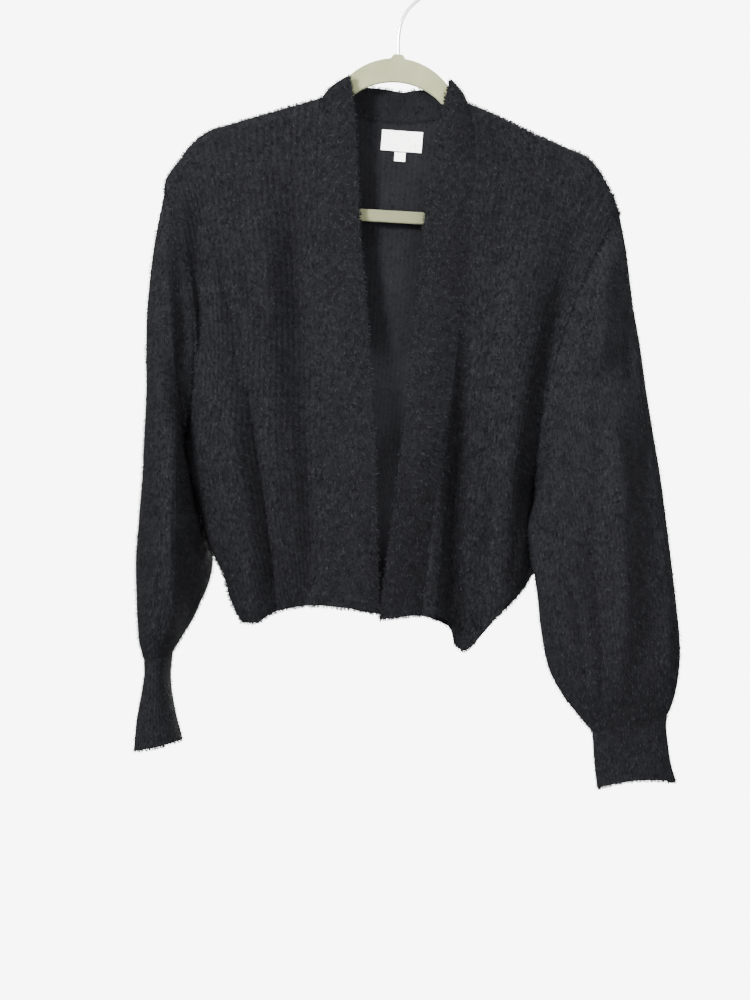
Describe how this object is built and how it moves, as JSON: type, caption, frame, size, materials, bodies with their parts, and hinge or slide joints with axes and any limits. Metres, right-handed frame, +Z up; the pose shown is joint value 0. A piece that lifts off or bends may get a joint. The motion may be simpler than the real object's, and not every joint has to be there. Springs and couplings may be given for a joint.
{
  "type": "cardigan on a hanger",
  "caption": "Cropped open-front rib-knit cardigan with balloon sleeves and deep cuffs, on a flocked hanger with a wire hook.",
  "frame": {"origin": "inner top of the hanger's hook, where a rail holds it", "axes": "+Z up, +X to the right as seen from the front, +Y from the open front to the back"},
  "size_m": [0.5428, 0.1184, 0.8285],
  "materials": {
    "knit": "brushed rib knit, matt with a soft nap",
    "rib": "dense brushed knit, matt",
    "label": "woven satin tape",
    "flock": "velvet flock",
    "wire": "polished"
  },
  "bodies": {
    "root": {"front_left": "knit", "front_right": "knit", "back": "knit", "sleeve_left": "knit", "sleeve_right": "knit", "band_left": "rib", "band_right": "rib", "cuff_left": "rib", "cuff_right": "rib", "neck_label": "label", "size_tab": "label", "hanger_arms": "flock", "hanger_bar": "flock", "hanger_hook": "wire"}
  },
  "joints": []
}
